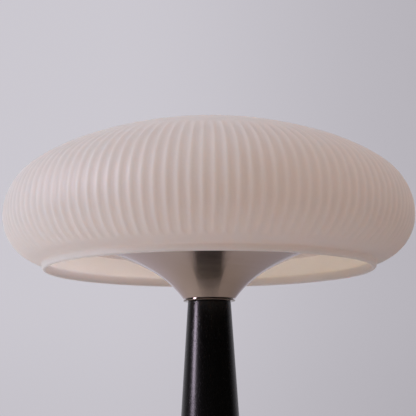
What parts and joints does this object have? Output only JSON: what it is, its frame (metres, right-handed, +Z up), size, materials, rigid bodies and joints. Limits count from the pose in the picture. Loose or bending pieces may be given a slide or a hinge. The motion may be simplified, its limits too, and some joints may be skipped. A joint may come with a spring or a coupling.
{
  "type": "rechargeable table lamp",
  "caption": "Mushroom table lamp: fluted opal glass dome over a flared steel trumpet, tapered wooden stem and round weighted foot.",
  "frame": {"origin": "centre of the surface that the lamp stands on, under its pad", "axes": "+Z up along the stem, -Y the front with the button, +Y the back with the charging port"},
  "size_m": [0.3, 0.3, 0.3878],
  "materials": {
    "opal_glass": "satin opal",
    "satin_glass": "satin",
    "brushed_steel": "brushed",
    "bright_steel": "satin",
    "polished_ring": "polished",
    "black_wood": "satin",
    "zinc_steel": "zinc plated",
    "aluminium": "satin",
    "cast_iron": "rough",
    "opal_plastic": "satin",
    "white_plastic": "matt",
    "white_board": "satin",
    "green_board": "satin",
    "black_plastic": "matt",
    "cell_wrap": "satin",
    "led_phosphor": "matt",
    "silicone": "matt",
    "black_rubber": "matt",
    "lead_jacket": "matt"
  },
  "bodies": {
    "lamp": {"shade_frame": "bright_steel", "frame_pads": "silicone", "frame_nuts": "zinc_steel", "diffuser": "opal_plastic", "led_terminal": "white_plastic", "led_chips": "led_phosphor", "led_board": "white_board", "led_screws": "zinc_steel", "light_tray": "aluminium", "tray_nut": "zinc_steel", "neck_nut": "zinc_steel", "neck_washer": "zinc_steel", "trumpet": "brushed_steel", "lamp_tube": "zinc_steel", "top_ring": "polished_ring", "stem": "black_wood", "foot_ring": "polished_ring", "foot": "black_wood", "foot_washer": "zinc_steel", "foot_nut": "zinc_steel", "button_bezel": "brushed_steel", "tact_switch": "black_plastic", "switch_board": "green_board", "charge_board": "green_board", "charge_socket": "zinc_steel", "port_bezel": "brushed_steel", "battery_cells": "cell_wrap", "ballast": "cast_iron", "bottom_plate": "zinc_steel", "plate_screws": "zinc_steel", "ballast_screws": "zinc_steel", "foot_pad": "black_rubber", "board_screws": "zinc_steel", "board_parts": "black_plastic", "wire_connectors": "white_plastic", "lamp_lead": "lead_jacket", "cell_leads": "lead_jacket", "switch_lead": "lead_jacket"},
    "shade": {"glass_shade": "opal_glass", "glass_casing": "satin_glass"},
    "button": {"button": "brushed_steel"}
  },
  "joints": [
    {"name": "shade_lift", "type": "slide", "parent": "lamp", "child": "shade", "axis": [0, 0, 1], "range_m": [0, 0.13]},
    {"name": "button_press", "type": "slide", "parent": "lamp", "child": "button", "axis": [0, 0, -1], "range_m": [0, 0.001], "stiffness_N_per_m": 900, "springref_m": -0.0015}
  ]
}
